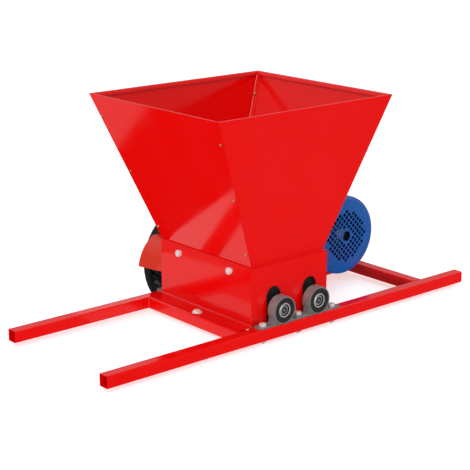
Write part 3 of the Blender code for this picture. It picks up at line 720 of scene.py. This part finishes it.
@dataclass
class Fasteners:
    """Every hexagon bolt, with chamfered head, washer face, rolled thread and nut."""

    m8: BoltStyle = BoltStyle(6.5 * MM, 5.5 * MM, 4 * MM, 1.25 * MM)
    m10: BoltStyle = BoltStyle(8 * MM, 6.5 * MM, 5 * MM, 1.5 * MM)
    flange_radius: float = 10.6 * MM
    flange_thick: float = 1.6 * MM
    washer_thick: float = 0.55 * MM
    overhang: float = 3 * MM
    sides: int = 24

    def build(self) -> None:
        """Replace every bolt of the CAD model with a finished one."""
        bolts = [name for name in frame["nodes"] if "bolt" in name]
        for name in bolts:
            self.bolt(name)

    def bolt(self, name: str) -> None:
        """Build one bolt in the space of its CAD node.

        Args:
            name: the node's name.
        """
        low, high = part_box(name)
        sideways = name.startswith("hopper_bolt")
        style = self.m10 if name.startswith("motor") else self.m8
        axis = Vector((1, 0, 0)) if sideways else Vector((0, 0, -1))
        middle = (low + high) / 2
        if sideways:
            tip, length = Vector((low.x, middle.y, middle.z)), high.x - low.x
        else:
            tip, length = Vector((middle.x, middle.y, high.z)), high.z - low.z
        bm = bmesh.new()
        self.head(bm, style, tip, axis, flanged=name == "box_flange_bolt")
        nut_end = length - self.overhang
        self.thread(bm, style, tip, axis, style.head - 1 * MM, length)
        self.nut(bm, style, tip, axis, nut_end - style.head, nut_end)
        piece = place(f"{name}_finished", bm, BRIGHT_ZINC, smooth_angle=28)
        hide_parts(name)

    def ring(self, style: BoltStyle, point: Vector, axis: Vector, reach: float) -> list[Vector]:
        """Return a ring between a hexagon and a circle.

        Args:
            style: the bolt's size.
            point: the ring's centre.
            axis: the bolt's axis.
            reach: a cap on the distance from the axis.

        Returns:
            The ring's points.
        """
        along = axis.normalized()
        across = Vector((0, 1, 0)) if abs(along.y) < 0.5 else Vector((1, 0, 0))
        other = along.cross(across)
        points = []
        for i in range(self.sides):
            angle = 2 * math.pi * i / self.sides
            edge = math.cos((angle % (math.pi / 3)) - math.pi / 6)
            radius = min(style.across / edge, reach)
            points.append(point + (across * math.cos(angle) + other * math.sin(angle)) * radius)
        return points

    def head(self, bm: bmesh.types.BMesh, style: BoltStyle, tip: Vector, axis: Vector,
             flanged: bool) -> None:
        """Build the chamfered hexagon head and the washer face under it.

        Args:
            bm: the mesh that gets it.
            style: the bolt's size.
            tip: the top of the head.
            axis: from the head to the thread.
            flanged: give it a wide round flange in place of the washer face.
        """
        corner = style.across / math.cos(math.pi / 6)
        under = style.head - 0.6 * MM
        rows = [(0.0, style.across * 0.9), (0.7 * MM, corner), (under, corner)]
        skin(bm, [self.ring(style, tip + axis * depth, axis, reach) for depth, reach in rows])
        plate = self.flange_radius if flanged else corner * 0.98
        thick = self.flange_thick if flanged else self.washer_thick
        seat = style.head - 0.05 * MM
        profile = [(plate * 0.9, style.head - thick), (plate, style.head - thick * 0.7),
                   (plate, seat), (style.shank, seat)]
        skin(bm, turn(profile, tip, axis, self.sides))

    def thread(self, bm: bmesh.types.BMesh, style: BoltStyle, tip: Vector, axis: Vector,
               start: float, end: float) -> None:
        """Build the shank with rolled thread rings near its end.

        Args:
            bm: the mesh that gets it.
            style: the bolt's size.
            tip: the top of the head.
            axis: from the head to the thread.
            start: where the shank leaves the head.
            end: the thread's end.
        """
        threaded = max(start + 1 * MM, end - 12 * MM)
        profile = [(style.shank * 0.98, start), (style.shank * 0.98, threaded)]
        turns = int((end - 1 * MM - threaded) / style.pitch)
        for i in range(turns):
            root = threaded + style.pitch * (i + 0.5)
            profile += [(style.shank * 0.84, root), (style.shank, root + style.pitch / 2)]
        profile += [(style.shank * 0.8, end - 0.4 * MM), (style.shank * 0.7, end)]
        skin(bm, turn(profile, tip, axis, self.sides))

    def nut(self, bm: bmesh.types.BMesh, style: BoltStyle, tip: Vector, axis: Vector,
            start: float, end: float) -> None:
        """Build a hexagon nut with chamfered faces.

        Args:
            bm: the mesh that gets it.
            style: the bolt's size.
            tip: the top of the head.
            axis: from the head to the thread.
            start: the nut's near face.
            end: the nut's far face.
        """
        corner = style.across / math.cos(math.pi / 6)
        rows = [(start, style.across * 0.93), (start + 0.6 * MM, corner),
                (end - 0.6 * MM, corner), (end, style.across * 0.93)]
        skin(bm, [self.ring(style, tip + axis * depth, axis, reach) for depth, reach in rows])


# ---------------------------------------------------------------- drive

@dataclass
class FanCover:
    """The motor's pressed fan cover with its grille of diamond holes."""

    pitch: float = 9.8 * MM
    hole: float = 7.1 * MM
    reach: float = 57 * MM
    eye: float = 11.4 * MM
    boss: float = 17 * MM
    wall: float = 1.4 * MM
    bend: float = 13 * MM

    def build(self) -> None:
        """Replace the plain cover with a perforated one."""
        low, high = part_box("fan_cover")
        centre = (low + high) / 2
        radius = (high.x - low.x) / 2
        depth = high.y - low.y
        bm = bmesh.new()
        skin(bm, turn(self.profile(radius, depth), Vector((centre.x, low.y, centre.z)),
                      Vector((0, 1, 0)), 72), closed=True)
        cover = place("fan_cover_finished", bm, BLUE_ENAMEL, smooth_angle=50)
        cutter = self.punches(centre, low.y)
        cut = cover.modifiers.new("grille", "BOOLEAN")
        cut.object = cutter
        cut.operation = "DIFFERENCE"
        self.apply(cover)
        bpy.data.objects.remove(cutter, do_unlink=True)
        cover.data.set_sharp_from_angle(angle=math.radians(40))
        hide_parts("fan_cover")

    @staticmethod
    def apply(piece: bpy.types.Object) -> None:
        """Apply a piece's modifiers to its mesh.

        Args:
            piece: the object.
        """
        bpy.context.view_layer.update()
        graph = bpy.context.evaluated_depsgraph_get()
        mesh = bpy.data.meshes.new_from_object(piece.evaluated_get(graph))
        piece.modifiers.clear()
        piece.data = mesh

    def profile(self, radius: float, depth: float) -> list[tuple[float, float]]:
        """Return the wall's closed outline: flat face, rounded shoulder and skirt.

        Args:
            radius: the skirt's outside radius.
            depth: from the face to the open end.

        Returns:
            (radius, distance from the face) points.
        """
        wall, bend = self.wall, self.bend
        shoulder = [math.radians(90 - 90 * i / 8) for i in range(9)]
        face = [(self.eye, 0.0), (self.reach + 6 * MM, 0.6 * MM)]
        outside = [(radius - bend + bend * math.cos(a), 1.5 * MM + bend - bend * math.sin(a))
                   for a in shoulder]
        inside = [(radius - bend + (bend - wall) * math.cos(a),
                   1.5 * MM + bend - (bend - wall) * math.sin(a)) for a in shoulder]
        back = [(self.reach + 6 * MM, 0.6 * MM + wall), (self.eye, wall)]
        return face + outside + [(radius, depth), (radius - wall, depth)] + inside[::-1] + back

    def punches(self, centre: Vector, face: float) -> bpy.types.Object:
        """Build the square punches, set cornerwise in a lattice.

        Args:
            centre: the cover's middle.
            face: where its front face lies along Y.

        Returns:
            The punches as one object.
        """
        bm = bmesh.new()
        steps = int(self.reach / self.pitch) + 2
        half = self.hole / 2
        turn45 = Matrix.Rotation(math.radians(45), 4, "Y")
        for i in range(-steps, steps + 1):
            for j in range(-steps, steps + 1):
                at = turn45 @ Vector((i * self.pitch, 0, j * self.pitch))
                if not self.boss < at.length < self.reach:
                    continue
                corners = [turn45 @ Vector((sx * half, 0, sz * half))
                           for sx, sz in ((-1, -1), (1, -1), (1, 1), (-1, 1))]
                rings = [[Vector((centre.x, y, centre.z)) + at + corner for corner in corners]
                         for y in (face - 4 * MM, face + 8 * MM)]
                skin(bm, rings)
        bmesh.ops.recalc_face_normals(bm, faces=bm.faces[:])
        return to_object("grille_punches", bm)


@dataclass
class Drive:
    """Motor body, terminal box, belt, pulleys, cooling fan and gear guard."""

    edges: dict[str, float] = field(default_factory=lambda: {
        "motor_frame": 0.6 * MM, "drive_end_shield": 0.8 * MM, "fan_end_shield": 0.6 * MM,
        "terminal_box": 1.5 * MM, "terminal_box_lid": 1.5 * MM, "cable_gland": 0.5 * MM,
        "driven_pulley": 0.8 * MM, "motor_pulley": 0.5 * MM, "v_belt": 0.4 * MM,
        "motor_shaft": 0.3 * MM, "gear_guard": 0.35 * MM, "cooling_fan": 0.3 * MM})

    def build(self) -> None:
        """Round the drive's edges and give the gear guard its own coat."""
        for name, width in self.edges.items():
            round_edges(name, width, angle=34)
        dress(frame["nodes"]["gear_guard"], HOOD_POWDER)


# ---------------------------------------------------------------- studio

@dataclass
class Studio:
    """Floor, light and camera."""

    # The floor lies just under the bearing bolts' ends and steps down just before the belt wheel.
    floor_height: float = -9 * MM
    step_y: float = 0.3895
    step_depth: float = 0.09
    # A floor that glows a little keeps the shadows under the rails pale.
    floor_glow: float = 0.6
    # One wide sun from the left, the front and above. Its width is in degrees.
    sun_towards: tuple[float, float, float] = (-1.0, -0.8, 0.75)
    sun_power: float = 1.25
    sun_width: float = 28
    # Grey of the reflected sky from straight down to straight up: dark low, brightest overhead.
    sky: tuple[tuple[float, float], ...] = (
        (0.0, 0.0), (0.24, 0.0), (0.32, 0.1), (0.37, 0.26), (0.5, 0.34), (0.64, 0.38), (0.78, 0.8),
        (0.88, 1.0), (1.0, 1.15))
    # The camera's lens and sensor are in millimetres, its place in metres, its angles in degrees.
    lens: float = 103.23
    sensor: float = 36.0
    eye: tuple[float, float, float] = (-1.8181, -1.8751, 0.9268)
    heading: float = 40.61
    pitch: float = 15.80
    shift: float = -0.0047

    def build(self) -> None:
        """Make the floor, the cards, the flag, the world, the light and the camera."""
        self.make_floor()
        self.make_reflection_cards()
        self.make_flag()
        self.make_world()
        self.make_sun()
        self.make_camera()
        LOG.info("set up the studio")

    def make_floor(self) -> None:
        """Lay a pale bench top that steps down behind the frame, clear of the hanging wheel."""
        high, low, reach = self.floor_height, self.floor_height - self.step_depth, 9.0
        lines = ((-reach, high), (self.step_y, high), (self.step_y, low), (reach, low))
        bm = bmesh.new()
        rows = [[bm.verts.new((x, y, z)) for x in (-reach, reach)] for y, z in lines]
        for near, far in zip(rows, rows[1:]):
            bm.faces.new((near[0], near[1], far[1], far[0]))
        floor = to_object("floor", bm)
        paint = bpy.data.materials.new("matte_white_paint")
        paint.use_nodes = True
        tree = paint.node_tree
        shader = tree.nodes["Principled BSDF"]
        constants = {"Roughness": 0.9, "Specular IOR Level": 0.1,
                     "Emission Color": (1.0, 1.0, 1.0, 1.0), "Emission Strength": self.floor_glow}
        for socket, value in constants.items():
            shader.inputs[socket].default_value = value
        where = add_node(tree, "ShaderNodeTexCoord").outputs["Object"]
        mottle = add_node(tree, "ShaderNodeTexNoise", {"Scale": 3.0}, {"Vector": where})
        mix = add_node(tree, "ShaderNodeMix",
                       {"data_type": "RGBA", 6: linear("#D2D2D2"), 7: linear("#CDCDCD")},
                       {0: mottle.outputs["Fac"]})
        tree.links.new(mix.outputs[2], shader.inputs["Base Color"])
        floor.data.materials.append(paint)
        floor.visible_glossy = False

    def make_reflection_cards(self) -> None:
        """Set glowing cards that only reflections see, so the gloss shows a lit studio."""
        # The tables lie just under the floor, which reflections don't see. Outlines are in metres.
        z = self.floor_height - 1 * MM
        self.make_card("front_table", 0.14,
                       ((0.04, -0.8, z), (1.0, -0.8, z), (1.0, -0.16, z), (0.04, -0.16, z)))
        self.make_card("far_table", 0.42,
                       ((-0.9, 0.86, z), (-0.38, 0.86, z), (-0.38, 1.5, z), (-0.9, 1.5, z)))
        self.make_card("side_table", 0.62,
                       ((-0.325, -0.02, z), (-0.2, -0.02, z), (-0.2, 0.3, z), (-0.325, 0.3, z)))
        # A low upright wall behind the far rail, to the left of the box.
        behind = 0.335
        self.make_card("side_wall", 0.72,
                       ((-0.17, behind, z), (-0.375, behind, z), (-0.375, behind, 0.028),
                        (-0.34, behind, 0.042), (-0.2, behind, 0.1), (-0.17, behind, 0.105)))

    @staticmethod
    def sheet(name: str, corners: tuple[tuple[float, float, float], ...]) -> bpy.types.Object:
        """Make one flat face.

        Args:
            name: its name.
            corners: its outline.

        Returns:
            The face as an object.
        """
        bm = bmesh.new()
        bm.faces.new([bm.verts.new(corner) for corner in corners])
        return to_object(name, bm)

    def make_flag(self) -> None:
        """Hang a small black flag that keeps light off the right cross tube's inner face."""
        low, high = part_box("right_cross_tube")
        x, top = low.x - 13 * MM, high.z - 3 * MM
        corners = ((x, low.y, low.z), (x, high.y, low.z), (x, high.y, top), (x, low.y, top))
        flag = self.sheet("black_flag", corners)
        dress(flag, BLACK_PLASTIC)
        flag.visible_camera = False
        flag.visible_glossy = False

    def make_card(self, name: str, strength: float,
                  corners: tuple[tuple[float, float, float], ...]) -> None:
        """Set one flat glowing card.

        Args:
            name: the card's name.
            strength: its glow.
            corners: its outline.
        """
        card = self.sheet(name, corners)
        glow = bpy.data.materials.new(f"{name}_glow")
        glow.use_nodes = True
        glow.node_tree.nodes.clear()
        glowing = add_node(glow.node_tree, "ShaderNodeEmission", {"Strength": strength})
        add_node(glow.node_tree, "ShaderNodeOutputMaterial", links={0: glowing.outputs[0]})
        card.data.materials.append(glow)
        card.visible_camera = False
        card.visible_diffuse = False
        card.visible_shadow = False
        card.visible_transmission = False

    @staticmethod
    def fill_ramp(ramp: bpy.types.Node, stops: tuple[tuple[float, float], ...]) -> None:
        """Set a ramp's grey stops.

        Args:
            ramp: the colour ramp node.
            stops: (position, grey value) pairs, first to last.
        """
        elements = ramp.color_ramp.elements
        for element, (position, value) in ((elements[0], stops[0]), (elements[1], stops[-1])):
            element.position, element.color = position, (value, value, value, 1)
        for position, value in stops[1:-1]:
            elements.new(position).color = (value, value, value, 1)

    def make_world(self) -> None:
        """Wrap the set in white, with a softer gradient for reflections and bounce light."""
        world = bpy.data.worlds.new("studio")
        bpy.context.scene.world = world
        world.use_nodes = True
        tree = world.node_tree
        tree.nodes.clear()
        where = add_node(tree, "ShaderNodeTexCoord").outputs["Generated"]
        split = add_node(tree, "ShaderNodeSeparateXYZ", links={0: where})
        height = add_node(tree, "ShaderNodeMapRange", {"From Min": -1.0, "From Max": 1.0},
                          {"Value": split.outputs["Z"]}).outputs["Result"]
        ramp = add_node(tree, "ShaderNodeValToRGB", links={0: height})
        self.fill_ramp(ramp, self.sky)
        soft = add_node(tree, "ShaderNodeBackground", {"Strength": 1.0}, {0: ramp.outputs["Color"]})
        white = add_node(tree, "ShaderNodeBackground", {0: (1, 1, 1, 1), "Strength": 1.0})
        rays = add_node(tree, "ShaderNodeLightPath")
        mix = add_node(tree, "ShaderNodeMixShader",
                       links={0: rays.outputs["Is Camera Ray"], 1: soft.outputs[0],
                              2: white.outputs[0]})
        add_node(tree, "ShaderNodeOutputWorld", links={0: mix.outputs[0]})

    def make_sun(self) -> None:
        """Hang one distant soft light."""
        lamp = bpy.data.lights.new("key_sun", "SUN")
        lamp.energy = self.sun_power
        lamp.angle = math.radians(self.sun_width)
        light = bpy.data.objects.new("key_sun", lamp)
        light.rotation_euler = Vector(self.sun_towards).to_track_quat("Z", "Y").to_euler()
        bpy.context.scene.collection.objects.link(light)

    def make_camera(self) -> None:
        """Set up the camera at the chosen viewing angle."""
        lens = bpy.data.cameras.new("camera")
        lens.sensor_width = self.sensor
        lens.lens = self.lens
        lens.shift_x = self.shift
        lens.clip_end = 50
        camera = bpy.data.objects.new("camera", lens)
        camera.location = self.eye
        camera.rotation_euler = (math.radians(90 - self.pitch), 0, -math.radians(self.heading))
        bpy.context.scene.collection.objects.link(camera)
        bpy.context.scene.camera = camera


def dress_nodes() -> None:
    """Give every CAD node the finish of its record slot."""
    slots = {part["node"]: part["material_slot"] for part in frame["record"]["subparts"]}
    for name, node in frame["nodes"].items():
        dress(node, SLOT_FINISHES[slots[name]])
        LOG.info("dressed %s in %s", name, slots[name])


def main() -> None:
    """Build every sub-assembly in order."""
    logging.basicConfig(level=logging.INFO)
    bpy.context.scene.view_settings.view_transform = "Standard"
    dress_nodes()
    for part in (TubeFrame(), CrushingBox(), Hopper(), PillowBlocks(), Fasteners(), FanCover(),
                 Drive(), Studio()):
        LOG.info("building %s", type(part).__name__)
        part.build()


if __name__ == "__main__":
    main()
